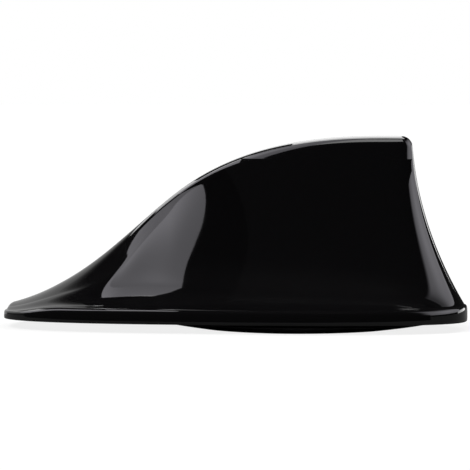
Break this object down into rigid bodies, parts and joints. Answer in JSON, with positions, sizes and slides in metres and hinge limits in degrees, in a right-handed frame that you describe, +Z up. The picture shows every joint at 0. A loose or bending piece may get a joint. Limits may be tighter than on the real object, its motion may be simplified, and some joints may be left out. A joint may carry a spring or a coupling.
{
  "type": "shark fin aerial",
  "caption": "Car roof aerial in a hollow gloss fin with a lip, concave flare and thin blade, on a rubber seal, with its boards inside.",
  "frame": {"origin": "middle of the footprint, at the height of the roof under the seal", "axes": "the nose points along -X, the tail along +X, +Y is the far side of the picture, +Z is up off the roof"},
  "size_m": [0.168, 0.066, 0.0692],
  "materials": {
    "gloss_black": "high gloss moulded",
    "seal_rubber": "matt moulded",
    "base_plastic": "fine moulded grain",
    "foam_pad": "closed-cell foam",
    "screw_steel": "zinc plated",
    "sheet_steel": "tinned sheet",
    "contact_metal": "gold-flashed",
    "board_green": "solder-masked laminate",
    "chip_black": "moulded resin",
    "ceramic_tan": "fired ceramic",
    "can_aluminium": "satin",
    "choke_copper": "enamelled winding",
    "copper": "bare copper",
    "natural_plastic": "moulded nylon"
  },
  "bodies": {
    "root": {"outer_cover": "gloss_black", "seal_gasket": "seal_rubber", "base_plate": "base_plastic", "adhesive_pad": "foam_pad", "lead_grommet": "seal_rubber", "cover_screws": "screw_steel", "ground_plate": "sheet_steel", "ground_springs": "contact_metal", "amplifier_board": "board_green", "board_screws": "screw_steel", "shield_can": "sheet_steel", "amplifier_chips": "chip_black", "ceramic_capacitors": "ceramic_tan", "electrolytic_capacitors": "can_aluminium", "matching_chokes": "choke_copper", "signal_socket": "contact_metal", "radiator_board": "board_green", "radiator_track": "copper", "top_load_hat": "sheet_steel", "foam_block": "foam_pad", "radiator_brackets": "natural_plastic", "feed_pins": "contact_metal", "coil_former": "natural_plastic", "loading_coil": "copper"}
  },
  "joints": []
}
